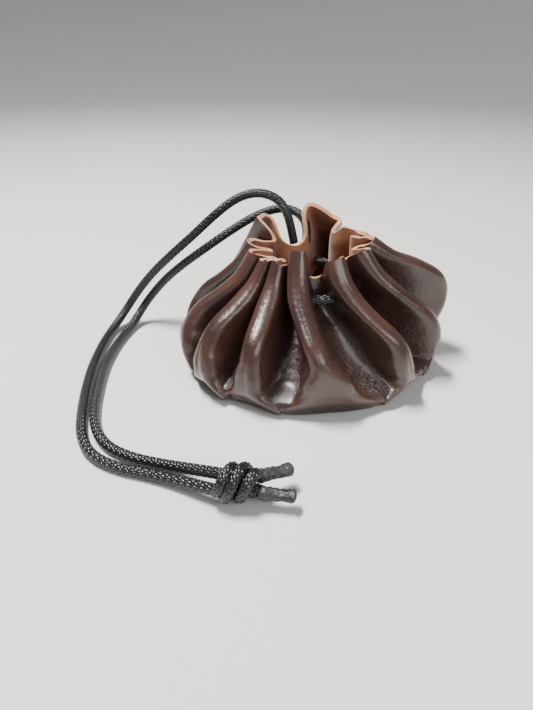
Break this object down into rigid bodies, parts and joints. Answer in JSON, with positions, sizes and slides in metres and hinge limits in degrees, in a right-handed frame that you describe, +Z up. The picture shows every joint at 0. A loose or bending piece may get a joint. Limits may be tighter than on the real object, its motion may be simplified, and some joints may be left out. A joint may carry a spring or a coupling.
{
  "type": "drawstring dice bag",
  "caption": "Small gathered leather pouch with a flat foot, pleated walls and a braided drawcord that closes the neck and ends in a shared knot.",
  "frame": {"origin": "centre of the footprint, on the surface that the bag stands on", "axes": "+Z up out of the mouth, -Y towards the front, +X to the right; the cord's tails leave the neck at the back and come round the -X side"},
  "size_m": [0.1391, 0.1395, 0.064],
  "materials": {
    "leather": "dark brown polished grain outside, tan suede inside",
    "cord": "black braided nylon with a soft sheen",
    "melted_end": "nylon braid sealed by heat"
  },
  "bodies": {
    "root": {"leather_bag": "leather", "neck_cord": "cord"},
    "drawcord": {"cord_tail_outer": "cord", "cord_tail_inner": "cord", "tail_knot": "cord", "cord_end_back": "melted_end", "cord_end_front": "melted_end"}
  },
  "joints": [
    {"name": "cord_draw", "type": "slide", "parent": "root", "child": "drawcord", "axis": [-0.342, 0.9397, 0], "range_m": [0, 0.02]}
  ]
}
